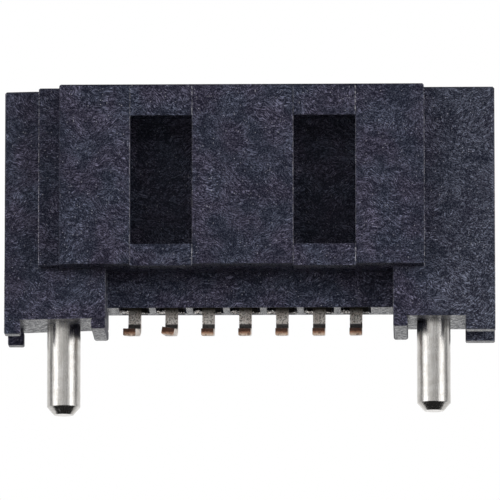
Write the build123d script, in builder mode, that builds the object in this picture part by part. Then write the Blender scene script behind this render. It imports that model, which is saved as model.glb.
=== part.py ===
from build123d import *
import os
from math import cos, radians, sin, tan

# An upright board header that takes a disc drive's seven-wire signal plug.
# +X runs along the row of contacts, +Y leads from the latch side to the back, and +Z leaves the board.
# The origin lies on the board, midway between the two pegs. Sizes are in millimetres.
# A setback is a distance towards the back from the latch wall's outer face.

# Contacts
contact_count = 7
contact_pitch = 1.27
contact_thickness = 0.25
blade_width = 0.84
blade_proud = 0.03            # how far a blade stands out of the tongue
ground_blade_drop = 0.85      # from the tongue's tip; the ground contacts meet the plug first
signal_blade_drop = 1.35
blade_nose = 0.12             # bevel at the tip of a blade
tail_width = 0.43
tail_edge_round = 0.05        # rolled edges on the tail's outer side
tail_reach = 1.45             # from the stem's front face to the toe
tail_droop = 8.0              # degrees that the foot slopes down to its toe
bend_radius = 0.17            # inside the bend
tail_skew = {1: 5.0, 2: 3.2}  # degrees by which these two feet are knocked sideways
tail_roll = {1: 2.0, 2: 10.0} # degrees by which their toes are twisted, right edge down
contact_clearance = 0.02
shoulder_above_base = 0.01    # from the base's underside to where a contact widens

# Tongue and its key
tongue_thickness = 1.23
tongue_margin = 0.975         # plastic beside the outermost blades
tongue_drop = 0.45            # from the shroud's rim to the tongue's tip
tongue_tip = 0.35             # height of the sloping tip
tongue_tip_angle = 35.0
key_thickness = 1.2
key_reach = 1.1

# Mouth
plug_offset = -0.13           # the plug's middle, along X from the pegs' midpoint
mouth_setback = 1.95
floor_height = 2.8
lead_in = 0.25                # bevel round the mouth

# Shroud
header_height = 8.4
header_depth = 6.1
body_length = 16.8
shroud_bottom = 2.25
end_wall = 1.195
body_offset = 0.055           # the body's middle, along X from the pegs' midpoint
back_wall = 0.75
shoulder_setback = 0.71
shoulder_length = 0.73        # the narrow strip beside the latch wall
corner_round = 0.1
rim_bevel = 0.05

# Latch wall and windows
latch_wall_thickness = 0.75
latch_wall_end = 0.73         # from the latch pocket to the wall's end
latch_pocket_side_room = 0.295
latch_wall_bottom = 2.18
latch_offset = -0.19          # the latch wall's middle, along X from the pegs' midpoint
window_offset = 0.04          # the windows' middle, along X from the latch wall's
window_width = 2.12
window_spacing = 5.58
window_bottom = 2.86
window_lintel = 1.09          # from a window up to the rim
column_proud = 0.03           # the columns that hold the windows stand out a little
column_bottom = 2.11

# Base and end blocks
base_setback = 2.2
base_thickness = 1.7
base_bottom = 1.0
base_behind_blades = 0.205
row_room = 0.685              # from the outermost blades to the end blocks
block_bottom = 0.48
left_block_setback = 1.07
left_block_sweep = 6.0        # degrees that the left block's front leans back in plan
left_block_back_sweep = 11.0  # degrees that its back leans
notch_width = 1.04
notch_height = 0.4
notch_lip = 0.02
notch_slope = 0.2             # run of a notch's sloping front wall

# Feet and stand-offs
foot_length = 0.53            # along Y
left_foot_width = 0.55
right_foot_width = 1.01
foot_round = 0.06
standoff_width = 0.5
standoff_bottom = 0.12
standoff_round = 0.09

# Pegs
peg_inset = 2.05              # from the body's end to a peg's centre, the mean of the two ends
peg_diameter = 1.15
peg_reach = 2.63              # below the board
peg_seat = 1.8                # length held in the block
peg_chamfer_side = 0.24
peg_chamfer_length = 0.27
peg_top_bevel = 0.1
left_peg_setback = 2.75
right_peg_setback = 2.0

# Places along Y
latch_y = -(left_peg_setback + right_peg_setback) / 2
shoulder_y = latch_y + shoulder_setback
pocket_y = latch_y + latch_wall_thickness
mouth_y = latch_y + mouth_setback
base_y = latch_y + base_setback
base_back_y = base_y + base_thickness
blade_back_y = base_back_y - base_behind_blades
tongue_back_y = blade_back_y - blade_proud
tongue_y = tongue_back_y - tongue_thickness
blade_front_y = blade_back_y - contact_thickness
back_y = latch_y + header_depth
mouth_back_y = back_y - back_wall
left_block_y = latch_y + left_block_setback

# Places along X
peg_spacing = body_length - 2 * peg_inset
row_length = (contact_count - 1) * contact_pitch + blade_width
block_gap = row_length + 2 * row_room
tongue_length = row_length + 2 * tongue_margin
mouth_length = body_length - 2 * end_wall
pocket_length = tongue_length + 2 * latch_pocket_side_room
latch_wall_length = pocket_length + 2 * latch_wall_end
body_left = body_offset - body_length / 2
body_right = body_offset + body_length / 2
block_left = body_offset - block_gap / 2
block_right = body_offset + block_gap / 2
latch_wall_left = latch_offset - latch_wall_length / 2
shoulder_left = latch_wall_left - shoulder_length
left_front_slope = tan(radians(left_block_sweep))
left_back_slope = tan(radians(left_block_back_sweep))

# Heights
tongue_top = header_height - tongue_drop
window_top = header_height - window_lintel
shoulder_height = base_bottom + shoulder_above_base


def blade_top(number):
    """Height of a contact's tip: every third contact is a ground contact."""
    return tongue_top - (ground_blade_drop if number % 3 == 1 else signal_blade_drop)


def left_block_front(x):
    """Y of the left block's swept front face at x."""
    return left_block_y + (block_left - x) * left_front_slope


def left_block_back(x):
    """Y of the left block's swept back face at x."""
    return base_back_y + (block_left - x) * left_back_slope


contact_x = [
    plug_offset + (number - (contact_count - 1) / 2) * contact_pitch for number in range(contact_count)
]
window_x = [latch_offset + window_offset + side * window_spacing / 2 for side in (-1, 1)]
pegs = {
    "peg_left": (-peg_spacing / 2, latch_y + left_peg_setback),
    "peg_right": (peg_spacing / 2, latch_y + right_peg_setback),
}

# Each outer foot: low x, width and front y
feet = [
    (body_left, left_foot_width, left_block_front(body_left)),
    (body_left, left_foot_width, left_block_back(body_left) - foot_length),
    (body_right - right_foot_width, right_foot_width, shoulder_y),
    (body_right - right_foot_width, right_foot_width, base_back_y - foot_length),
]

# Each inner stand-off: low x and front y
standoffs = [
    (block_left - standoff_width, left_block_y),
    (block_right, shoulder_y),
]

with BuildPart() as housing:
    # Shroud: one stepped outline, taken up to the mouth
    with BuildSketch(Plane.XY.offset(shroud_bottom)) as shroud_plan:
        with BuildLine():
            Polyline(
                (shoulder_left, shoulder_y),
                (body_right, shoulder_y),
                (body_right, back_y),
                (body_left, back_y),
                (body_left, left_block_front(body_left)),
                (shoulder_left, left_block_front(shoulder_left)),
                close=True,
            )
        make_face()
        fillet(shroud_plan.vertices().group_by(Axis.X)[0], corner_round)
        fillet(shroud_plan.vertices().group_by(Axis.X)[-1], corner_round)
    extrude(amount=header_height - shroud_bottom)

    # Latch wall, proud of the shroud
    with BuildSketch(Plane.XY.offset(latch_wall_bottom)) as latch_plan:
        with Locations((latch_offset, latch_y)):
            Rectangle(latch_wall_length, mouth_setback, align=(Align.CENTER, Align.MIN))
        fillet(latch_plan.vertices().group_by(Axis.Y)[0], corner_round / 2)
    extrude(amount=header_height - latch_wall_bottom)

    # Break the rim's outer edge, all the way round
    chamfer(housing.faces().sort_by(Axis.Z)[-1].outer_wire().edges(), rim_bevel)

    # Columns that hold the latch windows
    with BuildSketch(Plane.XY.offset(column_bottom)):
        with Locations(*[(x, latch_y - column_proud) for x in window_x]):
            Rectangle(window_width, shoulder_setback, align=(Align.CENTER, Align.MIN))
    extrude(amount=header_height - rim_bevel - column_bottom)

    # Base between the end blocks
    with BuildSketch(Plane.XY.offset(base_bottom)):
        with Locations((body_offset, base_y)):
            Rectangle(block_gap, base_thickness, align=(Align.CENTER, Align.MIN))
    extrude(amount=shroud_bottom - base_bottom)

    # End blocks, which carry the pegs
    with BuildSketch(Plane.XY.offset(block_bottom)):
        with BuildLine():
            Polyline(
                (block_left, left_block_y),
                (block_left, base_back_y),
                (body_left, left_block_back(body_left)),
                (body_left, left_block_front(body_left)),
                close=True,
            )
        make_face()
        with Locations((block_right, shoulder_y)):
            Rectangle(body_right - block_right, base_back_y - shoulder_y, align=(Align.MIN, Align.MIN))
    extrude(amount=shroud_bottom - block_bottom)

    # Outer feet, which rest on the board
    for low_x, width, front_y in feet:
        with BuildSketch(Plane.XZ.offset(-front_y)) as foot_face:
            with Locations((low_x, 0)):
                Rectangle(width, block_bottom, align=(Align.MIN, Align.MIN))
            fillet(foot_face.vertices().group_by(Axis.Z)[0], foot_round)
        extrude(amount=-foot_length)

    # Inner stand-offs, which keep the base off the solder
    for low_x, front_y in standoffs:
        with BuildSketch(Plane.XZ.offset(-front_y)) as standoff_face:
            with Locations((low_x, standoff_bottom)):
                Rectangle(standoff_width, block_bottom - standoff_bottom, align=(Align.MIN, Align.MIN))
            fillet(standoff_face.vertices().group_by(Axis.Z)[0], standoff_round)
        extrude(amount=front_y - base_back_y)

    # Mouth and the pocket for the plug's latch
    with BuildSketch(Plane.XY.offset(floor_height)) as mouth_plan:
        with Locations((plug_offset, mouth_y)):
            Rectangle(mouth_length, mouth_back_y - mouth_y, align=(Align.CENTER, Align.MIN))
        with Locations((latch_offset, pocket_y)):
            Rectangle(pocket_length, mouth_y - pocket_y, align=(Align.CENTER, Align.MIN))
    extrude(amount=header_height - floor_height, mode=Mode.SUBTRACT)

    # Lead-in round the mouth
    with BuildSketch(Plane.XY.offset(header_height)):
        add(mouth_plan.sketch_local)
        offset(amount=lead_in, kind=Kind.INTERSECTION)
    extrude(amount=-lead_in, taper=45, mode=Mode.SUBTRACT)

    # Latch windows
    with BuildSketch(Plane.XZ.offset(-latch_y)):
        with Locations(*[(x, (window_bottom + window_top) / 2) for x in window_x]):
            Rectangle(window_width, window_top - window_bottom)
    extrude(amount=latch_wall_thickness, both=True, mode=Mode.SUBTRACT)

    # Keyed tongue: a straight stem and a sloping tip
    with BuildSketch(Plane.XY.offset(floor_height)) as tongue_plan:
        with Locations((plug_offset, tongue_y)):
            Rectangle(tongue_length, tongue_thickness, align=(Align.CENTER, Align.MIN))
        with Locations((plug_offset - tongue_length / 2, tongue_y - key_reach)):
            Rectangle(key_thickness, key_reach + tongue_thickness / 2, align=(Align.MIN, Align.MIN))
    extrude(amount=tongue_top - tongue_tip - floor_height)
    with BuildSketch(Plane.XY.offset(tongue_top - tongue_tip)):
        add(tongue_plan.sketch_local)
    extrude(amount=tongue_tip, taper=tongue_tip_angle)

    # Slots that hold the contacts, open along the tongue's back face
    slot_width = blade_width + 2 * contact_clearance
    slot_depth = contact_thickness + contact_clearance
    for number, x in enumerate(contact_x, start=1):
        with BuildSketch(Plane.XY.offset(base_bottom)):
            with Locations((x, blade_front_y)):
                Rectangle(slot_width, slot_depth, align=(Align.CENTER, Align.MIN))
        extrude(amount=blade_top(number) + contact_clearance - base_bottom, mode=Mode.SUBTRACT)

    # Notches under the base, in front of the stems
    notch_y = base_y + notch_lip
    notch_top = base_bottom + notch_height
    with BuildSketch(*[Plane.YZ.offset(x) for x in contact_x]):
        with BuildLine():
            Polyline(
                (notch_y, base_bottom),
                (notch_y + notch_slope, notch_top),
                (blade_front_y, notch_top),
                (blade_front_y, base_bottom),
                close=True,
            )
        make_face()
    extrude(amount=notch_width / 2, both=True, mode=Mode.SUBTRACT)

    # Holes for the pegs, from the board up
    with BuildSketch():
        with Locations(*pegs.values()):
            Circle(peg_diameter / 2)
    extrude(amount=block_bottom + peg_seat, mode=Mode.SUBTRACT)

housing.part.label = "housing"


# Cross-section of a tail, rounded along its outer side, which ends up underneath the foot
with BuildSketch() as tail_section:
    Rectangle(tail_width, contact_thickness)
    fillet(tail_section.vertices().group_by(Axis.Y)[0], tail_edge_round)

# Side view of a straight tail: how far its middle line runs out and how high it lies
middle_y = (blade_front_y + blade_back_y) / 2
droop = radians(tail_droop)
toe_run = contact_thickness / 2 + tail_reach
toe_rise = contact_thickness / 2 * cos(droop)
heel_rise = toe_rise + toe_run * tan(droop)
bend_middle_radius = bend_radius + contact_thickness / 2
bend_top = heel_rise + bend_middle_radius * tan(radians(90 - tail_droop) / 2)


def make_contact(number):
    """One contact: a blade, a stem that takes up a twist, a bend and a foot that slopes to its toe."""
    x = contact_x[number - 1]
    skew = radians(tail_skew.get(number, 0.0))
    roll = tail_roll.get(number, 0.0)
    across = (cos(skew), -sin(skew), 0)
    outward = (-sin(skew), -cos(skew), 0)
    foot_plane = Plane(origin=(x, middle_y, 0), x_dir=outward, z_dir=(-cos(skew), sin(skew), 0))

    with BuildPart() as contact:
        # Blade with a bevelled nose, down to its shoulder in the base
        with BuildSketch(Plane.YZ.offset(x)) as blade_side:
            blade_height = blade_top(number) - shoulder_height
            with Locations((middle_y, shoulder_height)):
                Rectangle(contact_thickness, blade_height, align=(Align.CENTER, Align.MIN))
            chamfer(blade_side.vertices().group_by(Axis.Z)[-1].sort_by(Axis.Y)[-1], blade_nose)
        extrude(amount=blade_width / 2, both=True)

        # Stem
        with BuildSketch(Plane(origin=(x, middle_y, shoulder_height), x_dir=(1, 0, 0), z_dir=(0, 0, -1))):
            add(tail_section.sketch)
        with BuildSketch(Plane(origin=(x, middle_y, bend_top), x_dir=across, z_dir=(0, 0, -1))):
            add(tail_section.sketch)
        loft()

        # Bend
        with BuildLine(foot_plane) as bend:
            CenterArc((bend_middle_radius, bend_top), bend_middle_radius, 180, 90 - tail_droop)
        with BuildSketch(Plane(origin=bend.line @ 0, x_dir=across, z_dir=bend.line % 0)):
            add(tail_section.sketch)
        sweep(path=bend.line)

        # Foot, whose toe may be twisted, with its lower edge still on the board
        toe_lift = tail_width / 2 * sin(radians(roll))
        toe = foot_plane.from_local_coords((toe_run, toe_rise + toe_lift, 0))
        toe_across = Vector(across).rotate(Axis((0, 0, 0), bend.line % 1), -roll)
        with BuildSketch(Plane(origin=bend.line @ 1, x_dir=across, z_dir=bend.line % 1)):
            add(tail_section.sketch)
        with BuildSketch(Plane(origin=toe, x_dir=toe_across, z_dir=bend.line % 1)):
            add(tail_section.sketch)
        loft()

    contact.part.label = f"contact_{number}"
    return contact


def make_peg(name):
    """One round peg, turned with a bevelled end and a smaller bevel at the end held in the block."""
    x, y = pegs[name]
    radius = peg_diameter / 2
    top = block_bottom + peg_seat
    with BuildPart() as peg:
        with BuildSketch(Plane(origin=(x, y, 0), x_dir=(1, 0, 0), z_dir=(0, -1, 0))):
            with BuildLine():
                Polyline(
                    (0, -peg_reach),
                    (radius - peg_chamfer_side, -peg_reach),
                    (radius, peg_chamfer_length - peg_reach),
                    (radius, top - peg_top_bevel),
                    (radius - peg_top_bevel, top),
                    (0, top),
                    close=True,
                )
            make_face()
        revolve(axis=Axis((x, y, 0), (0, 0, 1)))
    peg.part.label = name
    return peg


pieces = [housing]
pieces += [make_contact(number) for number in range(1, contact_count + 1)]
pieces += [make_peg(name) for name in pegs]

os.makedirs("parts", exist_ok=True)
for piece in pieces:
    export_step(piece.part, f"parts/{piece.part.label}.step")
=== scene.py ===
# %% [markdown]
# # A board connector for a disc drive, seen from below
#
# The real object is a black moulded shroud with two latch windows, seven bent contacts under it and
# two round pegs that go through the circuit board. It is under 17 mm long, so nearly all that the eye
# reads is finish: glass fibres in the plastic, dull tin on the tails, raw copper where the strip was
# sheared, and the shine of drawn wire on the pegs.
#
# The shapes come ready made, as a fixed frame that is loaded first. This lesson gives each of them its
# surface, adds the small things that moulding and pressing leave behind, and lights the lot.

# %% Load the frame
from math import cos, radians, sin

import bpy
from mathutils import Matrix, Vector


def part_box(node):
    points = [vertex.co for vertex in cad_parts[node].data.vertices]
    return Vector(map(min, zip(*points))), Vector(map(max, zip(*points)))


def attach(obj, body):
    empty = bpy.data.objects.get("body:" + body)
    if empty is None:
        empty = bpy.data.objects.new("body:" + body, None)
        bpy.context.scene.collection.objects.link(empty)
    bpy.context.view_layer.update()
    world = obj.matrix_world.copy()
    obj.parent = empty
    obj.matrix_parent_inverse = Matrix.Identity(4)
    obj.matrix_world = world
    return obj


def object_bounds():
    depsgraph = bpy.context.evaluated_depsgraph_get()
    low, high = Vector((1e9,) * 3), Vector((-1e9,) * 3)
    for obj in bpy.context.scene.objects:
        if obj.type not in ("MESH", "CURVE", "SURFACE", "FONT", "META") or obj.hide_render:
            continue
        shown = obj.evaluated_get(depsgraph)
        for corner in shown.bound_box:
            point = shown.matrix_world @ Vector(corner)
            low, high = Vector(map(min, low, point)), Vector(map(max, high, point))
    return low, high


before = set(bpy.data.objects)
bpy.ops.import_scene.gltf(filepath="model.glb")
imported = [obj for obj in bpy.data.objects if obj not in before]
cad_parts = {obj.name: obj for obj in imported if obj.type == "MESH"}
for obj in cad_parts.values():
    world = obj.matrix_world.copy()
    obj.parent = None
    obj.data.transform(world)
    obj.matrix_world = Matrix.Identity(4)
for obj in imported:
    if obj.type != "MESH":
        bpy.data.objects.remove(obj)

print("nodes:", ", ".join(sorted(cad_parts)))


# %% [markdown]
# ## The size of the thing
#
# Everything is in metres, which makes a connector very small. Writing sizes in millimetres and
# multiplying by one named factor keeps them readable. The corner points of the loaded model are
# gathered here too, before anything is added.

# %% Millimetres, and the box of the loaded model
MM = 0.001


def corners(box):
    """A box's two corners as plain lists."""
    return [list(corner) for corner in box]


bpy.context.view_layer.update()
cad_box = corners(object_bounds())
print("loaded model, mm:", [round(value / MM, 2) for corner in cad_box for value in corner])


# %% [markdown]
# ## The camera
#
# A catalogue photograph of a small part is taken from far away with a long lens, so that parallel
# edges stay nearly parallel. The camera could be placed by eye. Here it is given as a point that it
# looks at, two angles and a distance, because those are the numbers that can be read off an object:
# the undersides show, so the camera is below, and the left block shows its side, so it is turned.

# %% Place the camera
CAMERA_PITCH = 9.244        # degrees, looking up
CAMERA_YAW = 1.30           # degrees, from the middle towards +X
CAMERA_DISTANCE = 277.9 * MM
CAMERA_LENS = 587.5         # millimetres
SENSOR_WIDTH = 36           # millimetres
LOOK_AT = Vector((0.105, -2.375, 2.640)) * MM
NEAREST_SEEN = 10 * MM
FARTHEST_SEEN = 10          # metres


def look_direction(pitch, yaw):
    """Unit vector of a view that looks up by pitch and comes from yaw degrees to the right."""
    return Vector((-sin(yaw) * cos(pitch), cos(yaw) * cos(pitch), sin(pitch)))


view_line = look_direction(radians(CAMERA_PITCH), radians(CAMERA_YAW))
camera = bpy.data.objects.new("camera", bpy.data.cameras.new("camera"))
bpy.context.scene.collection.objects.link(camera)
camera.location = LOOK_AT - view_line * CAMERA_DISTANCE
camera.rotation_euler = view_line.to_track_quat("-Z", "Y").to_euler()
camera.data.sensor_width = SENSOR_WIDTH
camera.data.lens = CAMERA_LENS
camera.data.clip_start = NEAREST_SEEN
camera.data.clip_end = FARTHEST_SEEN
bpy.context.scene.camera = camera
print("camera at, mm:", [round(value / MM, 1) for value in camera.location])


# %% [markdown]
# ## Small helpers for node trees
#
# Every material below is a node tree. Adding a node, setting it and wiring it takes three lines each
# time, which hides what the tree does. One helper does all three: an input that is given a socket is
# linked, and an input that is given a number is set. The others are the few nodes that come up again
# and again, each under a short name.

# %% Helpers that add nodes
def node(tree, kind, *values, **settings):
    """Add a node, set its properties, and fill its inputs in order. None leaves an input alone."""
    made = tree.nodes.new(kind)
    for name, value in settings.items():
        setattr(made, name, value)
    for socket, value in zip(made.inputs, values):
        plug(tree, socket, value)
    return made


def plug(tree, socket, value):
    """Link a socket to another socket, or set it to a number."""
    if isinstance(value, bpy.types.NodeSocket):
        tree.links.new(value, socket)
    elif value is not None:
        socket.default_value = value


def fill(tree, made, **values):
    """Fill a node's inputs by name. A keyword's underscores stand for spaces in the socket's name."""
    for name, value in values.items():
        plug(tree, made.inputs[name.replace("_", " ")], value)
    return made.outputs


def math(tree, operation, *values):
    """A Math node's result."""
    return node(tree, "ShaderNodeMath", *values, operation=operation).outputs[0]


def vector_math(tree, operation, *values):
    """A Vector Math node's vector result."""
    return node(tree, "ShaderNodeVectorMath", *values, operation=operation).outputs[0]


def scale_vector(tree, vector, factor):
    """A vector times a single value."""
    made = node(tree, "ShaderNodeVectorMath", vector, operation="SCALE")
    return fill(tree, made, Scale=factor)[0]


def mix_value(tree, factor, first, second):
    """Blend two values by a factor."""
    made = node(tree, "ShaderNodeMix", factor, data_type="FLOAT")
    plug(tree, made.inputs[2], first)
    plug(tree, made.inputs[3], second)
    return made.outputs[0]


def mix_colour(tree, factor, first, second):
    """Blend two colours by a factor."""
    made = node(tree, "ShaderNodeMix", data_type="RGBA")
    for index, value in ((0, factor), (6, first), (7, second)):
        plug(tree, made.inputs[index], value)
    return made.outputs[2]


def remap(tree, value, low, high, new_low=0.0, new_high=1.0):
    """Stretch a range onto another one, with a soft start and end."""
    return node(
        tree, "ShaderNodeMapRange", value, low, high, new_low, new_high, interpolation_type="SMOOTHSTEP"
    ).outputs[0]


def noise(tree, vector, scale, detail=2.0, roughness=0.5):
    """A Noise Texture's value, from about 0.2 to 0.8 round a mean of a half."""
    made = node(tree, "ShaderNodeTexNoise")
    return fill(tree, made, Vector=vector, Scale=scale, Detail=detail, Roughness=roughness)[0]


def noise_push(tree, vector, scale, detail, strength):
    """A noise vector that points every way round zero, up to about half the strength on each axis."""
    made = node(tree, "ShaderNodeTexNoise")
    fill(tree, made, Vector=vector, Scale=scale, Detail=detail)
    centred = vector_math(tree, "SUBTRACT", made.outputs["Color"], (0.5, 0.5, 0.5))
    return scale_vector(tree, centred, strength)


basic_helpers = (node, plug, fill, math, vector_math, scale_vector)
pattern_helpers = (mix_value, mix_colour, remap, noise, noise_push)
print("helpers:", ", ".join(helper.__name__ for helper in basic_helpers + pattern_helpers))


# %% [markdown]
# ## The studio
#
# Two things matter in the light. The plastic is nearly black, so it is seen mostly by what it mirrors:
# its underside, seen along a flat angle, is pale because it mirrors a white room. The pegs are
# mirrors bent into cylinders, so each shows the whole room squeezed into bands.
#
# A white room alone would leave the pegs blank. A photographer puts up two softboxes and some black
# cards, called flags, and the pegs then show bright bands with dark lines between. The cards here are
# seen by mirrored rays alone, so they shade nothing.

# %% The white room
AMBIENT = 0.038              # light from all round, as a share of white


def light_room():
    """White for the camera and in mirrors, and a plain soft light for everything else."""
    world = bpy.data.worlds.new("white_room")
    world.use_nodes = True
    tree = world.node_tree
    tree.nodes.clear()
    ray = node(tree, "ShaderNodeLightPath").outputs
    seen = math(tree, "MAXIMUM", ray["Is Camera Ray"], ray["Is Glossy Ray"])
    seen = math(tree, "MAXIMUM", seen, ray["Is Transmission Ray"])
    strength = node(tree, "ShaderNodeMapRange", seen, 0.0, 1.0, AMBIENT, 1.0).outputs[0]
    background = node(tree, "ShaderNodeBackground", (1, 1, 1, 1), strength)
    output = node(tree, "ShaderNodeOutputWorld")
    tree.links.new(background.outputs[0], output.inputs[0])
    return world


bpy.context.scene.world = light_room()
bpy.context.scene.view_settings.view_transform = "Standard"
print("ambient light:", AMBIENT)


# %% [markdown]
# The two large softboxes stand left and right of the camera. They can't reach into the windows, so a
# small weak one above the camera does. A fourth stands behind the object and lights its back.
# Directions are easier to think of as a compass angle and a height than as coordinates: 0 degrees is
# the camera's side and 90 is the object's right.

# %% Directions, and the softboxes
STUDIO_RADIUS = 150 * MM


def towards(compass, height):
    """Unit vector to a compass angle, from the camera's side to the right, and a height, in degrees."""
    compass, height = radians(compass), radians(height)
    return Vector((sin(compass) * cos(height), -cos(compass) * cos(height), sin(height)))


def softbox(name, compass, height, width, tall, watts):
    """A rectangular lamp that faces the object."""
    lamp = bpy.data.lights.new(name, "AREA")
    lamp.shape = "RECTANGLE"
    lamp.size, lamp.size_y = width, tall
    lamp.energy = watts
    placed = bpy.data.objects.new(name, lamp)
    bpy.context.scene.collection.objects.link(placed)
    direction = towards(compass, height)
    placed.location = direction * STUDIO_RADIUS
    placed.rotation_euler = direction.to_track_quat("Z", "Y").to_euler()
    placed.visible_glossy = False
    return placed


# Name, compass angle and height in degrees, width and tallness in millimetres, and watts
SOFTBOXES = [
    ("softbox_left", -49, 9, 80, 60, 0.088),
    ("softbox_right", 49, 9, 80, 60, 0.152),
    ("softbox_front", -3, 13, 70, 36, 0.026),
    ("softbox_back", 180, 25, 120, 60, 0.04),
]
for name, compass, height, width, tall, watts in SOFTBOXES:
    softbox(name, compass, height, width * MM, tall * MM, watts)
print("softboxes:", [lamp.name for lamp in bpy.data.lights])


# %% [markdown]
# What a peg mirrors decides how it looks, far more than what lights it. So the lamps are hidden from
# mirrored rays, and cards take their place there: two white ones where the softboxes are, greys for
# the camera and for the gaps between, and black ones above and below. They light and shade nothing.
#
# A card could be flat. A patch of a sphere round the object is better, because then its edges are
# given straight in angles, and so is the band that it makes on a peg.

# %% Cards for the mirrors
CARD_STEP = 6               # degrees between the mesh lines of a card
CARD_RADIUS = 180 * MM


def flat_emission(name, level):
    """A plain material that shines evenly, for a card that only mirrors see."""
    material = bpy.data.materials.new(name)
    material.use_nodes = True
    tree = material.node_tree
    tree.nodes.clear()
    shine = node(tree, "ShaderNodeEmission", (level, level, level, 1), 1.0)
    output = node(tree, "ShaderNodeOutputMaterial")
    tree.links.new(shine.outputs[0], output.inputs[0])
    return material


def card(name, compass, height, level):
    """A card over a range of compass angles and heights, seen by mirrored rays alone."""
    columns = max(2, round((compass[1] - compass[0]) / CARD_STEP) + 1)
    rows = max(2, round((height[1] - height[0]) / CARD_STEP) + 1)
    points = [
        towards(
            compass[0] + (compass[1] - compass[0]) * column / (columns - 1),
            height[0] + (height[1] - height[0]) * row / (rows - 1),
        ) * CARD_RADIUS
        for row in range(rows)
        for column in range(columns)
    ]
    faces = [
        (first, first + 1, first + columns + 1, first + columns)
        for row in range(rows - 1)
        for first in range(row * columns, row * columns + columns - 1)
    ]
    mesh = bpy.data.meshes.new(name)
    mesh.from_pydata([tuple(point) for point in points], [], faces)
    mesh.materials.append(flat_emission(name, level))
    placed = bpy.data.objects.new(name, mesh)
    bpy.context.scene.collection.objects.link(placed)
    placed.visible_camera = placed.visible_diffuse = placed.visible_shadow = False
    placed.visible_transmission = placed.visible_volume_scatter = False
    return placed


print("a card's mesh lines are", CARD_STEP, "degrees apart")


# %% [markdown]
# A peg shows the compass squeezed onto its width, so the list of cards reads like the peg itself, from
# left to right: pale rims, dark lines, and the two bright bands with the grey of the camera's side
# between them. Walking round the peg by an angle turns the mirrored ray by twice that angle.

# %% Hang the cards
# Compass range and brightness of each upright card, from the left round the front to the right
UPRIGHT_CARDS = [
    (-150, -108, 0.72), (-108, -84, 0.22), (-84, -72, 0.72), (-72, -42, 1.65), (-42, -5, 0.66),
    (-5, 4, 0.26), (4, 14, 0.72), (14, 32, 0.28), (32, 42, 0.70), (42, 70, 1.65), (70, 84, 0.72),
    (84, 108, 0.22), (108, 150, 0.72),
]
UPRIGHT_HEIGHTS = (-44, 34)
ALL_ROUND = (-180, 180)
DARK_BELOW = 0.02
DARK_ABOVE = 0.06

for number, (start, end, level) in enumerate(UPRIGHT_CARDS, start=1):
    card(f"card_{number}", (start, end), UPRIGHT_HEIGHTS, level)
card("card_below", ALL_ROUND, (-90, UPRIGHT_HEIGHTS[0]), DARK_BELOW)
card("card_above", ALL_ROUND, (UPRIGHT_HEIGHTS[1], 88), DARK_ABOVE)
print("cards:", len(UPRIGHT_CARDS) + 2)


# %% [markdown]
# The floor lies at the tips of the pegs. The camera is lower than that, so the floor lets it look
# through from below: a ray from the camera that meets the floor's back goes straight on. Seen from
# above, the floor is plain and pale and keeps the connector's shadow.

# %% Floor
FLOOR_SIZE = 3.0
FLOOR_GAP = 0.02 * MM       # below the pegs' tips
FLOOR_COLOUR = (0.85, 0.85, 0.86, 1)
FLOOR_ROUGHNESS = 0.7
FLOOR_LIFT = 0.55           # brightness that the camera alone sees on it, so that it looks pale


def lay_floor():
    """A large pale square, seen from above alone."""
    height = cad_box[0][2] - FLOOR_GAP
    half = FLOOR_SIZE / 2
    mesh = bpy.data.meshes.new("floor")
    square = [(-half, -half, height), (half, -half, height), (half, half, height), (-half, half, height)]
    mesh.from_pydata(square, [], [(0, 1, 2, 3)])
    material = bpy.data.materials.new("pale_floor")
    material.use_nodes = True
    tree = material.node_tree
    surface = tree.nodes["Principled BSDF"]
    surface.inputs["Base Color"].default_value = FLOOR_COLOUR
    surface.inputs["Roughness"].default_value = FLOOR_ROUGHNESS
    surface.inputs["Emission Color"].default_value = FLOOR_COLOUR
    camera_ray = node(tree, "ShaderNodeLightPath").outputs["Is Camera Ray"]
    plug(tree, surface.inputs["Emission Strength"], math(tree, "MULTIPLY", camera_ray, FLOOR_LIFT))
    back = node(tree, "ShaderNodeNewGeometry").outputs["Backfacing"]
    clear = node(tree, "ShaderNodeBsdfTransparent")
    either = node(tree, "ShaderNodeMixShader", math(tree, "MULTIPLY", camera_ray, back))
    tree.links.new(surface.outputs[0], either.inputs[1])
    tree.links.new(clear.outputs[0], either.inputs[2])
    tree.links.new(either.outputs[0], tree.nodes["Material Output"].inputs[0])
    mesh.materials.append(material)
    floor = bpy.data.objects.new("floor", mesh)
    bpy.context.scene.collection.objects.link(floor)
    floor.visible_glossy = False
    return floor


lay_floor()
print("floor at, mm:", round(cad_box[0][2] / MM, 2))


# %% [markdown]
# ## A group for edges
#
# No real edge is sharp. A moulded or sheared edge has a radius of a few hundredths of a millimetre, and
# it shows as a thin bright line wherever the radius mirrors a softbox. The edges could be rounded in
# the mesh, but the loaded parts stay as they are. The Bevel node rounds only the shading: it gives a
# normal that turns smoothly round each edge. Where that normal leaves the true one there is an edge,
# which gives a mask as well: for wear, and on the plastic for painted edge highlights. All three
# materials use this, so it is a node group.

# %% Groups with named sockets
def new_group(name, inputs, outputs):
    """A shader node group with named sockets. Returns its tree, its input node and its output node."""
    tree = bpy.data.node_groups.new(name, "ShaderNodeTree")
    for label, kind, value in inputs:
        socket = tree.interface.new_socket(label, in_out="INPUT", socket_type=kind)
        if value is not None:
            socket.default_value = value
    for label, kind in outputs:
        tree.interface.new_socket(label, in_out="OUTPUT", socket_type=kind)
    return tree, tree.nodes.new("NodeGroupInput").outputs, tree.nodes.new("NodeGroupOutput").inputs


def place_group(tree, group, **values):
    """Put a group into a material."""
    made = tree.nodes.new("ShaderNodeGroup")
    made.node_tree = group
    return fill(tree, made, **values)


def tell_group(group):
    """Print a group's name and its sockets."""
    print("group:", group.name, [item.name for item in group.interface.items_tree])


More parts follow.
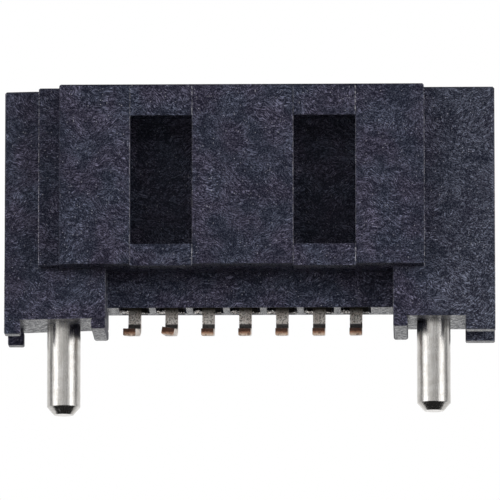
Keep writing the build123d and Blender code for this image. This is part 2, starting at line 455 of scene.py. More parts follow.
# %% The edge group
BEVEL_SAMPLES = 6
EDGE_RANGE = (0.999, 0.90)      # likeness of the two normals where an edge starts, and where it is full
WEAR_RANGE = (0.42, 0.62)       # part of the noise over which wear sets in


def make_edge_group():
    """Edge rounding, and a mask for edge wear and painted edge highlights."""
    tree, given, out = new_group(
        "rounded_edges",
        [("Vector", "NodeSocketVector", None), ("Radius", "NodeSocketFloat", 0.03 * MM),
         ("Break Up", "NodeSocketFloat", 8.0)],
        [("Normal", "NodeSocketVector"), ("Wear And Highlight", "NodeSocketFloat")],
    )
    bevel = node(tree, "ShaderNodeBevel", given["Radius"], samples=BEVEL_SAMPLES)
    true_normal = node(tree, "ShaderNodeNewGeometry").outputs["Normal"]
    likeness = node(tree, "ShaderNodeVectorMath", bevel.outputs[0], true_normal, operation="DOT_PRODUCT")
    edge = remap(tree, likeness.outputs["Value"], *EDGE_RANGE)
    gaps = remap(tree, noise(tree, given["Vector"], given["Break Up"], 3.0, 0.7), *WEAR_RANGE)
    tree.links.new(bevel.outputs[0], out["Normal"])
    tree.links.new(math(tree, "MULTIPLY", edge, gaps), out["Wear And Highlight"])
    return tree


edge_group = make_edge_group()
tell_group(edge_group)


# %% [markdown]
# ## A group for glass fibres
#
# The plastic is filled with short glass fibres. Where it flowed into the mould they lie along the flow
# and show through the skin as pale strokes, a thirtieth of a millimetre wide and five times as long.
# Between them the resin shows as dark lines.
#
# A Voronoi texture that is stretched along one direction gives such strokes: each of its cells is one
# fibre, with a brightness of its own. Noise that is stretched the same way adds the longer lines, and
# some grit that keeps the strokes from looking even.

# %% One layer of fibres
STROKE_RANGE = (0.60, 0.18)     # distance from a cell's middle where its stroke starts and is full
STROKE_POWER = 1.6              # above 1 it leaves fewer of the strokes bright
LINE_SHARE = 0.3                # of the strokes' squeeze along the flow, so that lines are longer
LINE_SCALE = 0.75
PALE_RANGE = (0.54, 0.80)       # the end of the lines' noise that draws pale lines
DARK_RANGE = (0.46, 0.34)       # the end that draws dark ones
DARK_REST = 0.15                # what a dark line leaves of the strokes that it crosses
GRIT_SCALE = 0.9
GRIT_MIDDLE = 0.46
GRIT_STRENGTH = 1.7


def drawn_out(tree, vector, along, across):
    """A vector on which a texture is drawn out along X."""
    return vector_math(
        tree, "MULTIPLY", vector, node(tree, "ShaderNodeCombineXYZ", along, across, across).outputs[0]
    )


def fibre_layer(tree, vector, turn, length, width):
    """Pale strokes and dark lines along a direction that is turned about the Y axis."""
    turned = node(tree, "ShaderNodeVectorRotate", vector, rotation_type="Y_AXIS")
    turned = fill(tree, turned, Angle=radians(turn))[0]
    along = math(tree, "DIVIDE", 1.0, length)
    across = math(tree, "DIVIDE", 1.0, width)
    squeezed = drawn_out(tree, turned, along, across)
    cells = fill(tree, node(tree, "ShaderNodeTexVoronoi"), Vector=squeezed, Scale=1.0)
    stroke = remap(tree, cells["Distance"], *STROKE_RANGE)
    own = node(tree, "ShaderNodeSeparateColor", cells["Color"]).outputs[0]
    strokes = math(tree, "MULTIPLY", stroke, math(tree, "POWER", own, STROKE_POWER))

    # The high end of this noise draws pale lines and its low end dark ones
    longer = drawn_out(tree, turned, math(tree, "MULTIPLY", along, LINE_SHARE), across)
    lines = noise(tree, longer, LINE_SCALE, 2.0, 0.6)
    pale = math(tree, "MAXIMUM", strokes, remap(tree, lines, *PALE_RANGE))
    pale = math(tree, "MULTIPLY", pale, remap(tree, lines, *DARK_RANGE, 1.0, DARK_REST))

    grit = noise(tree, squeezed, GRIT_SCALE, 2.0, 0.7)
    grit = math(tree, "MULTIPLY", math(tree, "SUBTRACT", grit, GRIT_MIDDLE), GRIT_STRENGTH)
    return math(tree, "MAXIMUM", math(tree, "ADD", pale, grit), 0.0)


print("lines are", round(1 / (LINE_SHARE * LINE_SCALE), 1), "times as long as strokes")


# %% [markdown]
# The fibres turn with the flow, so one stretch has them level and the next has them slanting. Rotating
# one texture by a noise looks right near its centre and shears far away from it. Three layers, each
# drawn out in its own direction, are blended instead.

# %% Fibres that turn with the flow
STREAK_TURNS = (-6, 36, -28)    # degrees from level
STRETCH_SCALE = 0.45            # scale of the noise that says which layer shows
STRETCH_RANGE = (0.44, 0.56)
STRETCH_SHIFT = 7.0             # millimetres, so that each mask reads another part of that noise


def turning_fibres(tree, vector, flowing, length, width):
    """Fibre layers in several directions, blended by slow masks."""
    fibres = fibre_layer(tree, flowing, STREAK_TURNS[0], length, width)
    for index, turn in enumerate(STREAK_TURNS[1:], start=1):
        layer = fibre_layer(tree, flowing, turn, length, width)
        shifted = vector_math(tree, "ADD", vector, (STRETCH_SHIFT * index, 0.0, 0.0))
        mask = remap(tree, noise(tree, shifted, STRETCH_SCALE, 1.0), *STRETCH_RANGE)
        fibres = mix_value(tree, mask, fibres, layer)
    return fibres


print("directions, degrees:", STREAK_TURNS)


# %% [markdown]
# No moulding is streaked evenly. Here and there a skin of resin covers the fibres, dark creases run
# along the flow, and over millimetres the whole drifts from paler to darker. Each of these could be
# painted by hand. One noise for each is simpler, and it dims the fibres by its own share.
#
# A few bright specks come on top. They are the ends of fibres that point out of the surface, painted as
# glints.

# %% Skin, creases and specks
SKIN_SCALE = 1.8
SKIN_RANGE = (0.38, 0.47)
SKIN_REST = 0.42                # what the skin leaves of the fibres under it
CREASE_SQUEEZE = (0.45, 1.0, 1.3)
CREASE_SCALE = 1.7
CREASE_HALF = 0.05              # half a crease, on the noise's own scale
CREASE_REST = 0.18
DRIFT_SCALE = 0.4
DRIFT_RANGE = (0.34, 0.66)
DRIFT_SHARES = (0.78, 1.18)
SPECK_SCALE = 14.0
SPECK_RANGE = (0.34, 0.12)
SPECK_CHOICE = (0.84, 1.0)      # only cells whose own brightness lies here hold a speck


def dim_fibres(tree, fibres, vector, flowing):
    """Fibres under patches of skin, crossed by creases, and drifting from paler to darker."""
    skin = remap(tree, noise(tree, vector, SKIN_SCALE, 3.0, 0.6), *SKIN_RANGE, SKIN_REST, 1.0)
    fibres = math(tree, "MULTIPLY", fibres, skin)
    squeezed = vector_math(tree, "MULTIPLY", flowing, CREASE_SQUEEZE)
    level = math(tree, "SUBTRACT", noise(tree, squeezed, CREASE_SCALE, 3.0, 0.65), 0.5)
    crease = remap(tree, math(tree, "ABSOLUTE", level), 0.0, CREASE_HALF, CREASE_REST, 1.0)
    fibres = math(tree, "MULTIPLY", fibres, crease)
    drift = remap(tree, noise(tree, vector, DRIFT_SCALE, 2.0), *DRIFT_RANGE, *DRIFT_SHARES)
    return math(tree, "MULTIPLY", fibres, drift)


def bright_specks(tree, vector):
    """Small dots in a few cells of a Voronoi texture."""
    cells = fill(tree, node(tree, "ShaderNodeTexVoronoi"), Vector=vector, Scale=SPECK_SCALE)
    near = remap(tree, cells["Distance"], *SPECK_RANGE)
    own = node(tree, "ShaderNodeSeparateColor", cells["Color"]).outputs[0]
    return math(tree, "MULTIPLY", near, remap(tree, own, *SPECK_CHOICE))


print("fibres left under the skin:", SKIN_REST, "and in a crease:", CREASE_REST)


# %% [markdown]
# The group puts these together. The flow isn't straight, because it bends round the windows, so the
# fibres are read at a point that a slow noise has pushed aside. Dust far finer than the fibres is added
# last, and keeps the plain stretches between them from looking painted.

# %% The flow group
BEND_SCALE = 0.55               # of the slow noise that bends the flow
DUST_SCALE = 26.0
DUST_STRENGTH = 1.2
PATCH_SCALE = 0.9
PATCH_RANGE = (0.35, 0.65)


def make_flow_group():
    """Fibres, dull patches and bright specks of a fibre-filled moulding. Lengths are in millimetres."""
    tree, given, out = new_group(
        "moulding_flow",
        [("Vector", "NodeSocketVector", None), ("Fibre Length", "NodeSocketFloat", 0.15),
         ("Fibre Width", "NodeSocketFloat", 0.028), ("Waviness", "NodeSocketFloat", 1.5)],
        [("Fibres", "NodeSocketFloat"), ("Patches", "NodeSocketFloat"), ("Specks", "NodeSocketFloat")],
    )
    place = given["Vector"]
    bend = noise_push(tree, place, BEND_SCALE, 3.0, given["Waviness"])
    flowing = vector_math(tree, "ADD", place, bend)
    fibres = turning_fibres(tree, place, flowing, given["Fibre Length"], given["Fibre Width"])
    fibres = dim_fibres(tree, fibres, place, flowing)
    dust = math(tree, "SUBTRACT", noise(tree, place, DUST_SCALE, 2.0, 0.7), 0.5)
    dust = math(tree, "MULTIPLY", dust, DUST_STRENGTH)
    tree.links.new(math(tree, "ADD", fibres, dust), out["Fibres"])
    tree.links.new(remap(tree, noise(tree, place, PATCH_SCALE, 2.0), *PATCH_RANGE), out["Patches"])
    tree.links.new(bright_specks(tree, place), out["Specks"])
    return tree


flow_group = make_flow_group()
tell_group(flow_group)


# %% [markdown]
# ## The black plastic
#
# The material itself only mixes what the two groups give. Two near-black tints, one blue and one
# purple, come in patches. Streaks and specks lighten them. The melt reached the right end last, and
# there the fibres lie nearer to the skin, so their colour is paler.

# %% Starting a material
X_AXIS, Y_AXIS, Z_AXIS = range(3)


def start_material(name):
    """A new material with its node tree, its Principled node and Object coordinates in millimetres."""
    material = bpy.data.materials.new(name)
    material.use_nodes = True
    tree = material.node_tree
    place = node(tree, "ShaderNodeTexCoord").outputs["Object"]
    return material, tree, tree.nodes["Principled BSDF"], scale_vector(tree, place, 1 / MM)


def face_mask(tree, axis, low, high):
    """Where the surface points along an axis of the object's own normal."""
    normal = node(tree, "ShaderNodeTexCoord").outputs["Normal"]
    part = node(tree, "ShaderNodeSeparateXYZ", normal).outputs[axis]
    return remap(tree, part, low, high)


def bump_surface(tree, surface, height, normal, strength, distance):
    """Let a pattern of heights turn the surface's normal."""
    bump = node(tree, "ShaderNodeBump")
    fill(tree, bump, Strength=strength, Distance=distance, Height=height, Normal=normal)
    plug(tree, surface.inputs["Normal"], bump.outputs[0])


def paint(node_name, material):
    """Give a loaded part its material."""
    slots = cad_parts[node_name].material_slots
    for slot in slots:
        slot.material = material
    return len(slots)


print("texture units in a metre:", round(1 / MM))


# %% Streaked black
BLUE_BLACK = (0.0026, 0.0036, 0.0098, 1)
PURPLE_BLACK = (0.0036, 0.0030, 0.0092, 1)
BLUE_FIBRE = (0.188, 0.208, 0.294, 1)
PURPLE_FIBRE = (0.208, 0.196, 0.284, 1)
END_FIBRE = (0.25, 0.27, 0.355, 1)
RIGHT_END = (5.4, 7.4)          # millimetres along X over which the fibres grow paler
SPECK_GLINT_COLOUR = (0.50, 0.50, 0.56, 1)
SPECK_GLINT_STRENGTH = 0.6


def streaked_black(tree, flow, along):
    """Near-black resin with pale fibres, and bright specks painted as glints."""
    dark = mix_colour(tree, flow["Patches"], BLUE_BLACK, PURPLE_BLACK)
    pale = mix_colour(tree, flow["Patches"], BLUE_FIBRE, PURPLE_FIBRE)
    pale = mix_colour(tree, remap(tree, along, *RIGHT_END), pale, END_FIBRE)
    colour = mix_colour(tree, flow["Fibres"], dark, pale)
    # Painted glints: bright specks where fibre ends point out of the surface
    return mix_colour(tree, math(tree, "MULTIPLY", flow["Specks"], SPECK_GLINT_STRENGTH), colour, SPECK_GLINT_COLOUR)


print("fibres grow paler from, mm:", RIGHT_END)


# %% [markdown]
# Handling has rubbed the upright edges pale, and painted highlights are laid on them too where they
# would catch the light: most of all at the left end, and elsewhere on the ones that point right. The
# level ones stay dark. The rounded normal from the edge group tells which way an edge points, so the
# mask for wear and painted highlights is sorted by it.

# %% Rubbed edges, and painted edge highlights
# Wear and painted edge highlights: strongest at the left end, then on edges that point right
LEFT_END = (-5.0, -5.6)         # millimetres along X over which the wear comes in
UPRIGHT_RANGE = (0.02, 0.12)    # how far the normal of an upright edge may point up or down
LEVEL_REST = 0.1                # share of the wear that the other edges keep
RIGHTWARD_RANGE = (-0.1, 0.1)
RIGHTWARD_SHARES = (0.3, 0.65)


def rubbed_and_highlit_edges(tree, edges, along):
    """A mask of the edges that handling has rubbed, and of painted highlights on the edges that would
    catch the light.
    """
    sideways, _, upwards = node(tree, "ShaderNodeSeparateXYZ", edges["Normal"]).outputs
    upright = remap(tree, math(tree, "ABSOLUTE", upwards), *UPRIGHT_RANGE, 1.0, LEVEL_REST)
    left_end = remap(tree, along, *LEFT_END)
    points_right = remap(tree, sideways, *RIGHTWARD_RANGE, *RIGHTWARD_SHARES)
    wear_and_highlight = math(tree, "MULTIPLY", edges["Wear And Highlight"], upright)
    return math(tree, "MULTIPLY", wear_and_highlight, math(tree, "MAXIMUM", left_end, points_right))


print("wear comes in from, mm:", LEFT_END)


# %% [markdown]
# The finish has two parts. The walls are satin, a little smoother where a fibre lies, and a slight bump
# lets each fibre catch the light. The undersides copied a smoother, pitted face of the mould, and they
# mirror the room. A face's own normal says which of the two it is.

# %% Housing plastic
UNDERSIDE = (-0.75, -0.95)      # the normal's Z where a face starts to count as one, and where it is one
FIBRE_ROUGHNESS = (0.54, 0.40)  # between the fibres, and on them
UNDER_ROUGHNESS = (0.10, 0.42)
PIT_SCALE = 7.0
PIT_RANGE = (0.42, 0.58)
PIT_DEPTH = 1.6                 # against the height of a fibre
RUBBED_AND_HIGHLIT_COLOUR = (0.66, 0.66, 0.70, 1)
RUBBED_ROUGHNESS = 0.25
SHEEN_TINT = (0.76, 0.79, 1.0, 1)
SHEEN_LEVEL = 0.24


def make_plastic():
    """Black, fibre-filled moulding with flow streaks and rubbed edges."""
    material, tree, surface, place = start_material("housing_plastic")
    flow = place_group(tree, flow_group, Vector=place)
    edges = place_group(tree, edge_group, Vector=place, Radius=0.045 * MM, Break_Up=12.0)
    along = node(tree, "ShaderNodeSeparateXYZ", place).outputs[0]
    wear_and_highlight = rubbed_and_highlit_edges(tree, edges, along)
    # Pale edges: wear, and painted highlights where the edges would catch the light
    colour = mix_colour(tree, wear_and_highlight, streaked_black(tree, flow, along), RUBBED_AND_HIGHLIT_COLOUR)

    under = face_mask(tree, Z_AXIS, *UNDERSIDE)
    walls = remap(tree, flow["Fibres"], 0.0, 1.0, *FIBRE_ROUGHNESS)
    pits = remap(tree, noise(tree, place, PIT_SCALE, 3.0, 0.8), *PIT_RANGE, *UNDER_ROUGHNESS)
    roughness = mix_value(tree, wear_and_highlight, mix_value(tree, under, walls, pits), RUBBED_ROUGHNESS)
    fill(
        tree, surface, Base_Color=colour, Roughness=roughness, Specular_IOR_Level=SHEEN_LEVEL,
        Specular_Tint=SHEEN_TINT,
    )
    pitted = math(tree, "MULTIPLY", math(tree, "MULTIPLY", pits, under), PIT_DEPTH)
    relief = math(tree, "ADD", flow["Fibres"], pitted)
    bump_surface(tree, surface, relief, edges["Normal"], strength=0.6, distance=0.012 * MM)
    return material


print("housing slots painted:", paint("housing", make_plastic()))


# %% [markdown]
# ## A group for metal grain
#
# Rolled strip and drawn wire both carry fine lines along the way they were pulled, with soft cloudy
# patches over them. One group makes both, and takes the stretch of the lines as a vector, so that the
# strip can have short grains and the wire long ones.

# %% The grain group
GRAIN_RANGE = (0.32, 0.68)
CLOUD_RANGE = (0.35, 0.65)


def make_grain_group():
    """Fine grain stretched along an axis, and soft clouds. Lengths are in millimetres."""
    tree, given, out = new_group(
        "metal_grain",
        [("Vector", "NodeSocketVector", None), ("Stretch", "NodeSocketVector", (1.0, 1.0, 1.0)),
         ("Grain Scale", "NodeSocketFloat", 20.0), ("Cloud Scale", "NodeSocketFloat", 3.0)],
        [("Grain", "NodeSocketFloat"), ("Clouds", "NodeSocketFloat")],
    )
    pulled = vector_math(tree, "MULTIPLY", given["Vector"], given["Stretch"])
    grain = noise(tree, pulled, given["Grain Scale"], 4.0, 0.7)
    clouds = noise(tree, given["Vector"], given["Cloud Scale"], 3.0, 0.6)
    tree.links.new(remap(tree, grain, *GRAIN_RANGE), out["Grain"])
    tree.links.new(remap(tree, clouds, *CLOUD_RANGE), out["Clouds"])
    return tree


grain_group = make_grain_group()
tell_group(grain_group)


# %% [markdown]
# ## The contacts
#
# A contact is stamped from plated strip. Its broad faces are dull tin below the shroud and thin gold
# up in the mouth, where the plug's springs rub. Its sheared faces are bare copper alloy: a smooth,
# scored band where the punch cut, and a dark rough one where the metal tore.
#
# All seven share one material, so it has to know how far a point is from the middle of its own
# contact. The WRAP operation folds the whole row onto one pitch, which is measured here.

# %% Where the contacts stand
contacts = sorted(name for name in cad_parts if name.startswith("contact_"))
first_low, first_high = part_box(contacts[0])
last_low, last_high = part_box(contacts[-1])
first_middle = (first_low.x + first_high.x) / 2
pitch = ((last_low.x + last_high.x) / 2 - first_middle) / (len(contacts) - 1)


def from_own_middle(tree, across):
    """Distance sideways from the middle of the contact that a point is on, in millimetres."""
    half = pitch / 2
    folded = math(tree, "WRAP", across, (first_middle + half) / MM, (first_middle - half) / MM)
    return math(tree, "ABSOLUTE", math(tree, "SUBTRACT", folded, first_middle / MM))


print("contacts:", len(contacts), "with a pitch of, mm:", round(pitch / MM, 3))


# %% [markdown]
# Up in its notch a tail is painted with shade, tinted olive, and the wide part beside it with painted
# shade that is nearly black. The hollow of the bend gets painted shade too, because it sees little but
# the plastic above it. These painted shades are set by height.

# %% Tin and its painted shade
DULL_TIN = (0.84, 0.76, 0.70, 1)
PALE_TIN = (1.0, 0.95, 0.90, 1)
GRAIN_DARK = (0.13, 0.11, 0.08, 1)
GRAIN_DARKENS = (0.50, 0.95)    # part of the grain that darkens the tin
GRAIN_STRENGTH = 0.95
# Painted shade: olive-tinted up in the notch, dark in the bend's hollow, near black beside the tail
OLIVE_NOTCH_SHADE = (0.035, 0.030, 0.014, 1)
HOLLOW_SHADE = (0.020, 0.019, 0.022, 1)
HOLLOW_SHADE_STRENGTH = 0.93
BLACK_NOTCH_SHADE = (0.012, 0.010, 0.010, 1)
OLIVE_HEIGHTS = (0.93, 1.18)    # millimetres, as are the next four
BLACK_HEIGHTS = (0.96, 1.0)
TAIL_HALF = (0.21, 0.24)
HOLLOW_TOP = (0.65, 0.59)
HOLLOW_FOOT = (0.30, 0.34)


def tin_with_painted_shade(tree, grain, across, height):
    """Dull tin with a fine grain, and painted shade up in the notch and in the hollow of the bend."""
    tin = mix_colour(tree, grain["Clouds"], DULL_TIN, PALE_TIN)
    lines = remap(tree, grain["Grain"], *GRAIN_DARKENS, 0.0, GRAIN_STRENGTH)
    tin = mix_colour(tree, lines, tin, GRAIN_DARK)
    # Painted shade up in the notch, tinted olive
    tin = mix_colour(tree, remap(tree, height, *OLIVE_HEIGHTS), tin, OLIVE_NOTCH_SHADE)
    # Painted shade in the hollow of the bend, which mirrors the dark plastic above it
    hollow = math(tree, "MULTIPLY", remap(tree, height, *HOLLOW_TOP), remap(tree, height, *HOLLOW_FOOT))
    tin = mix_colour(tree, math(tree, "MULTIPLY", hollow, HOLLOW_SHADE_STRENGTH), tin, HOLLOW_SHADE)
    # Painted shade, near black, on the wide part beside the tail up in the notch
    beside = remap(tree, from_own_middle(tree, across), *TAIL_HALF)
    beside = math(tree, "MULTIPLY", remap(tree, height, *BLACK_HEIGHTS), beside)
    return mix_colour(tree, beside, tin, BLACK_NOTCH_SHADE)


print("olive from, mm:", OLIVE_HEIGHTS)


# %% [markdown]
# The toe's end is where the strip was cut off. From its lower edge up it is cream and burnished, then
# copper, then dark at the top: a torn lip, with painted shade from the bend above it. Height alone would
# give three straight bands, so a scored noise is added to the height first.

# %% The sheared toe
CREAM_DEEP = (0.46, 0.31, 0.22, 1)
CREAM_PALE = (0.80, 0.68, 0.56, 1)
COPPER_DEEP = (0.15, 0.055, 0.025, 1)
COPPER_PALE = (0.52, 0.29, 0.18, 1)
BURNT_COPPER = (0.070, 0.030, 0.018, 1)
BURNT_SCALE = 9.0
BURNT_RANGE = (0.50, 0.62)
BURNT_STRENGTH = 0.7
# Torn lip, darkened further by painted shade from the bend above
TORN_LIP_AND_SHADE = (0.045, 0.015, 0.006, 1)
RAGGEDNESS = 0.06               # millimetres, as are the next two
CREAM_TO_COPPER = (0.05, 0.15)
COPPER_TO_LIP = (0.13, 0.20)


def sheared_toe(tree, place, height):
    """The colours of the strip's cut end, with painted shade on its dark top."""
    scored = place_group(tree, grain_group, Vector=place, Stretch=(1.0, 1.0, 0.12), Grain_Scale=16.0)
    ragged = math(tree, "MULTIPLY_ADD", scored["Grain"], RAGGEDNESS, height)
    cream = mix_colour(tree, scored["Grain"], CREAM_DEEP, CREAM_PALE)
    copper = mix_colour(tree, scored["Grain"], COPPER_DEEP, COPPER_PALE)
    sheared = mix_colour(tree, remap(tree, ragged, *CREAM_TO_COPPER), cream, copper)
    burnt = noise(tree, place, BURNT_SCALE, 3.0, 0.7)
    burnt = remap(tree, burnt, *BURNT_RANGE, 0.0, BURNT_STRENGTH)
    sheared = mix_colour(tree, burnt, sheared, BURNT_COPPER)
    # The dark top is a torn lip, with painted shade from the bend above laid over it
    return mix_colour(tree, remap(tree, ragged, *COPPER_TO_LIP), sheared, TORN_LIP_AND_SHADE)


print("the torn lip starts at, mm:", COPPER_TO_LIP[0])


# %% [markdown]
# Which face is which can be told from the face's own normal in object space: the toe's end points
# away from the shroud, and the strip's edges point left and right.

# %% Contact metal
GOLD_SHARE = 0.4                # share of the housing's height above which a blade is gold
GOLD_FADE = 0.2                 # millimetres
GOLD_DEEP = (0.95, 0.66, 0.28, 1)
GOLD_PALE = (1.0, 0.76, 0.38, 1)
SHEARED_SIDE = (0.98, 0.86, 0.76, 1)
SIDE_RANGE = (0.85, 0.97)       # the normal's X on the strip's edges, and next its Y on the toe's end
END_RANGE = (-0.90, -0.97)
SIDE_STRENGTH = 0.55
TOE_TOP = (0.36, 0.33)          # millimetres
WORN_TIN = (0.88, 0.84, 0.80, 1)
WORN_STRENGTH = 0.35
TIN_METALLIC = 0.40
TOE_METALLIC = 0.20
TIN_ROUGHNESS = (0.58, 0.36)


def make_contact_metal():
    """Tin over copper alloy, gold on the blades, and bare metal where the strip was sheared."""
    material, tree, surface, place = start_material("contact_metal")
    grain = place_group(tree, grain_group, Vector=place, Grain_Scale=17.0, Cloud_Scale=5.0)
    edges = place_group(tree, edge_group, Vector=place, Radius=0.02 * MM, Break_Up=12.0)
    across, _, height = node(tree, "ShaderNodeSeparateXYZ", place).outputs
    gold_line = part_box("housing")[1].z / MM * GOLD_SHARE
    in_mouth = remap(tree, height, gold_line - GOLD_FADE, gold_line + GOLD_FADE)
    gold = mix_colour(tree, grain["Clouds"], GOLD_DEEP, GOLD_PALE)
    plated = mix_colour(tree, in_mouth, tin_with_painted_shade(tree, grain, across, height), gold)

    left = face_mask(tree, X_AXIS, -SIDE_RANGE[0], -SIDE_RANGE[1])
    right = face_mask(tree, X_AXIS, *SIDE_RANGE)
    sides = math(tree, "MULTIPLY", math(tree, "MAXIMUM", left, right), SIDE_STRENGTH)
    colour = mix_colour(tree, sides, plated, SHEARED_SIDE)
    toe = face_mask(tree, Y_AXIS, *END_RANGE)
    toe = math(tree, "MULTIPLY", toe, remap(tree, height, *TOE_TOP))
    colour = mix_colour(tree, toe, colour, sheared_toe(tree, place, height))
    colour = mix_colour(tree, math(tree, "MULTIPLY", edges["Wear And Highlight"], WORN_STRENGTH), colour, WORN_TIN)
    metallic = remap(tree, toe, 0.0, 1.0, TIN_METALLIC, TOE_METALLIC)
    roughness = remap(tree, grain["Clouds"], 0.0, 1.0, *TIN_ROUGHNESS)
    fill(tree, surface, Base_Color=colour, Metallic=metallic, Roughness=roughness)
    bump_surface(tree, surface, grain["Grain"], edges["Normal"], strength=0.8, distance=0.016 * MM)
    return material


contact_metal = make_contact_metal()
print("contacts painted:", sum(paint(name, contact_metal) for name in contacts))


# %% [markdown]
# ## The pegs
#
# Drawn wire is smooth round its girth and faintly lined along its length. The lines matter more than
# the colour: they smear each mirrored softbox along the peg and leave a thin dark grain in it.

# %% Peg metal
WIRE_DULL = (0.76, 0.74, 0.71, 1)
WIRE_BRIGHT = (0.90, 0.885, 0.865, 1)
LINE_COLOUR = (0.46, 0.43, 0.39, 1)
LINE_STRENGTH = 0.26
PIT_COLOUR = (0.38, 0.33, 0.28, 1)
PIT_STRENGTH = 0.20
WIRE_ROUGHNESS = (0.18, 0.28)


def make_peg_metal():
    """Bright drawn wire with fine lines along it."""
    material, tree, surface, place = start_material("peg_metal")
    lines = place_group(
        tree, grain_group, Vector=place, Stretch=(1.0, 1.0, 0.05), Grain_Scale=16.0, Cloud_Scale=2.5
    )
    pits = place_group(tree, grain_group, Vector=place, Grain_Scale=24.0)
    edges = place_group(tree, edge_group, Vector=place, Radius=0.03 * MM, Break_Up=6.0)
    colour = mix_colour(tree, lines["Clouds"], WIRE_DULL, WIRE_BRIGHT)
    colour = mix_colour(tree, math(tree, "MULTIPLY", lines["Grain"], LINE_STRENGTH), colour, LINE_COLOUR)
    colour = mix_colour(tree, math(tree, "MULTIPLY", pits["Grain"], PIT_STRENGTH), colour, PIT_COLOUR)
    roughness = remap(tree, lines["Grain"], 0.0, 1.0, *WIRE_ROUGHNESS)
    fill(tree, surface, Base_Color=colour, Metallic=1.0, Roughness=roughness)
    bump_surface(tree, surface, lines["Grain"], edges["Normal"], strength=0.25, distance=0.006 * MM)
    return material


peg_metal = make_peg_metal()
print("pegs painted:", sum(paint(name, peg_metal) for name in ("peg_left", "peg_right")))


# %% [markdown]
# ## Skived flakes
#
# Each contact is pressed into its slot, and the slot's edge shaves it. The shavings hang in the
# notches as ragged white flakes. They are far too many and too small to place by hand, so Geometry
# Nodes scatters them: a line of points, one for each contact, is multiplied, shaken, and given a
# flattened ball at each point, and a noise tears the balls' outlines.

# %% The flake tree
FLAKE_LEAST = (0.35, 0.15, 0.2)     # half sizes along the ball's axes, times the flakes' size
FLAKE_MOST = (1.0, 0.4, 0.7)
TURN_LEAST = (0.15, -0.3, 0.38)     # radians, so that the flat sides face down and to the right
TURN_MOST = (0.40, 0.3, 0.60)
TEAR_SCALE = 20.0
TEAR_SHARE = 0.5                    # how far a flake is torn, against its size


def make_flake_tree():
    """Geometry Nodes that scatter ragged flakes round each point of a row."""
    tree = bpy.data.node_groups.new("skived_flakes", "GeometryNodeTree")
    sockets = [
        ("First", "NodeSocketVector"), ("Pitch", "NodeSocketFloat"), ("Count", "NodeSocketInt"),
        ("Flakes", "NodeSocketInt"), ("Spread", "NodeSocketVector"), ("Size", "NodeSocketFloat"),
        ("Seed", "NodeSocketInt"), ("Material", "NodeSocketMaterial"),
    ]
    for label, kind in sockets:
        tree.interface.new_socket(label, in_out="INPUT", socket_type=kind)
    tree.interface.new_socket("Geometry", in_out="OUTPUT", socket_type="NodeSocketGeometry")
    given = tree.nodes.new("NodeGroupInput").outputs
    out = tree.nodes.new("NodeGroupOutput").inputs

    def shaken(low, high, seed_shift):
        """A random vector between two others."""
        made = node(tree, "FunctionNodeRandomValue", low, high, data_type="FLOAT_VECTOR")
        plug(tree, made.inputs["Seed"], math(tree, "ADD", given["Seed"], seed_shift))
        return made.outputs[0]

    step = node(tree, "ShaderNodeCombineXYZ", given["Pitch"], 0.0, 0.0).outputs[0]
    row = node(tree, "GeometryNodeMeshLine", mode="OFFSET")
    row = fill(tree, row, Count=given["Count"], Start_Location=given["First"], Offset=step)["Mesh"]
    many = node(tree, "GeometryNodeDuplicateElements", domain="POINT")
    many = fill(tree, many, Geometry=row, Amount=given["Flakes"])["Geometry"]
    opposite = vector_math(tree, "MULTIPLY", given["Spread"], (-1.0, -1.0, -1.0))
    moved = node(tree, "GeometryNodeSetPosition")
    moved = fill(tree, moved, Geometry=many, Offset=shaken(opposite, given["Spread"], 0.0))["Geometry"]

    ball = node(tree, "GeometryNodeMeshIcoSphere", 1.0, 2).outputs["Mesh"]
    size = scale_vector(tree, shaken(FLAKE_LEAST, FLAKE_MOST, 1.0), given["Size"])
    turn = shaken(TURN_LEAST, TURN_MOST, 2.0)
    placed = node(tree, "GeometryNodeInstanceOnPoints")
    placed = fill(tree, placed, Points=moved, Instance=ball, Rotation=turn, Scale=size)
    real = node(tree, "GeometryNodeRealizeInstances", placed["Instances"]).outputs[0]

    in_mm = scale_vector(tree, node(tree, "GeometryNodeInputPosition").outputs[0], 1 / MM)
    reach = math(tree, "MULTIPLY", given["Size"], TEAR_SHARE)
    torn = node(tree, "GeometryNodeSetPosition")
    tear = noise_push(tree, in_mm, TEAR_SCALE, 2.0, reach)
    torn = fill(tree, torn, Geometry=real, Offset=tear)["Geometry"]
    painted = node(tree, "GeometryNodeSetMaterial")
    painted = fill(tree, painted, Geometry=torn, Material=given["Material"])["Geometry"]
    tree.links.new(painted, out[0])
    return tree


flake_tree = make_flake_tree()
print("tree:", flake_tree.name, len(flake_tree.nodes), "nodes")


# %% [markdown]
# The tree runs as a modifier on an empty mesh, and its result is turned into a plain mesh once. The
# modifier is then taken off, so what is left is a piece like any other.

# %% Grow a piece with a tree
def grow(name, tree, slot, **values):
    """A plain mesh piece, made once by a Geometry Nodes tree."""
    piece = bpy.data.objects.new(name, bpy.data.meshes.new(name))
    bpy.context.scene.collection.objects.link(piece)
    modifier = piece.modifiers.new(name, "NODES")
    modifier.node_group = tree
    for item in tree.interface.items_tree:
        if item.in_out == "INPUT":
            modifier[item.identifier] = values[item.name]
    bpy.context.view_layer.update()
    graph = bpy.context.evaluated_depsgraph_get()
    made = bpy.data.meshes.new_from_object(piece.evaluated_get(graph), depsgraph=graph)
    piece.modifiers.clear()
    piece.data = made
    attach(piece, "root")
    return piece


print("inputs:", [item.name for item in flake_tree.interface.items_tree if item.in_out == "INPUT"])


# %% [markdown]
# The flakes are fresh tin. They are shown whiter than the contacts, and fully metallic and smooth, so
# that the few that face a white card flash as they do in life.

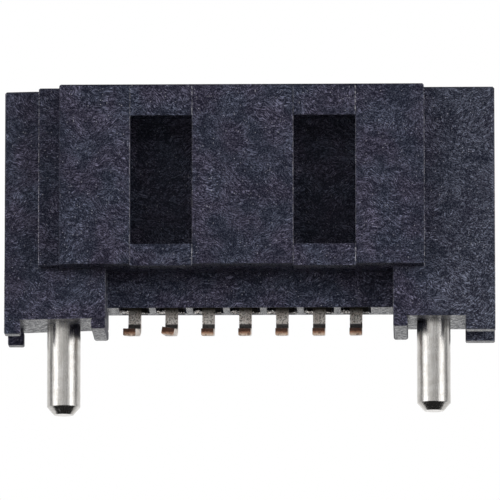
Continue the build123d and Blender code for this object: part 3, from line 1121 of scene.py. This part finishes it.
# %% Flake metal
FLAKE_DULL = (0.90, 0.84, 0.80, 1)
FLAKE_WHITE = (1.0, 0.99, 0.98, 1)
FLAKE_ROUGHNESS = (0.12, 0.32)


def make_flake_metal():
    """Fresh tin, whiter and brighter than the plating it came from."""
    material, tree, surface, place = start_material("skived_tin")
    grain = place_group(tree, grain_group, Vector=place, Grain_Scale=18.0, Cloud_Scale=7.0)
    colour = mix_colour(tree, grain["Clouds"], FLAKE_DULL, FLAKE_WHITE)
    roughness = remap(tree, grain["Grain"], 0.0, 1.0, *FLAKE_ROUGHNESS)
    fill(tree, surface, Base_Color=colour, Metallic=1.0, Roughness=roughness)
    return material


flake_metal = make_flake_metal()
print("material:", flake_metal.name)


# %% [markdown]
# The row of points comes from the contacts' own boxes. A contact's box is as wide as its blade, and its
# back is the blade's back, so the strip's thickness leads to the blade's front, where the flakes hang.
# The same tree makes two pieces. The notches' left halves are full of flakes, and the right halves
# have a few thin ones.

# %% Scatter the flakes
STRIP_THICKNESS = 0.25 * MM
NOTCH_LEVEL = 1.0 * MM          # height of the base's underside

blade_front = last_high.y - STRIP_THICKNESS
shared = {"Pitch": pitch, "Count": len(contacts), "Material": flake_metal}


def heap_middle(sideways, forwards, upwards):
    """A heap's middle at the first contact, in millimetres from its middle, its front and its notch."""
    return (first_middle + sideways * MM, blade_front - forwards * MM, NOTCH_LEVEL + upwards * MM)


flakes_left = grow(
    "flakes_left", flake_tree, "contact_metal", Flakes=28, Size=0.066 * MM, Seed=4,
    First=heap_middle(-0.37, 0.050, 0.036), Spread=(0.14 * MM, 0.012 * MM, 0.036 * MM), **shared,
)
flakes_right = grow(
    "flakes_right", flake_tree, "contact_metal", Flakes=8, Size=0.036 * MM, Seed=9,
    First=heap_middle(0.36, 0.025, 0.012), Spread=(0.14 * MM, 0.010 * MM, 0.014 * MM), **shared,
)
print("flake faces:", len(flakes_left.data.polygons), "and", len(flakes_right.data.polygons))


# %% [markdown]
# ## Bring the scene up to date
#
# Last, the view layer is updated.

# %% Update the scene
bpy.context.view_layer.update()
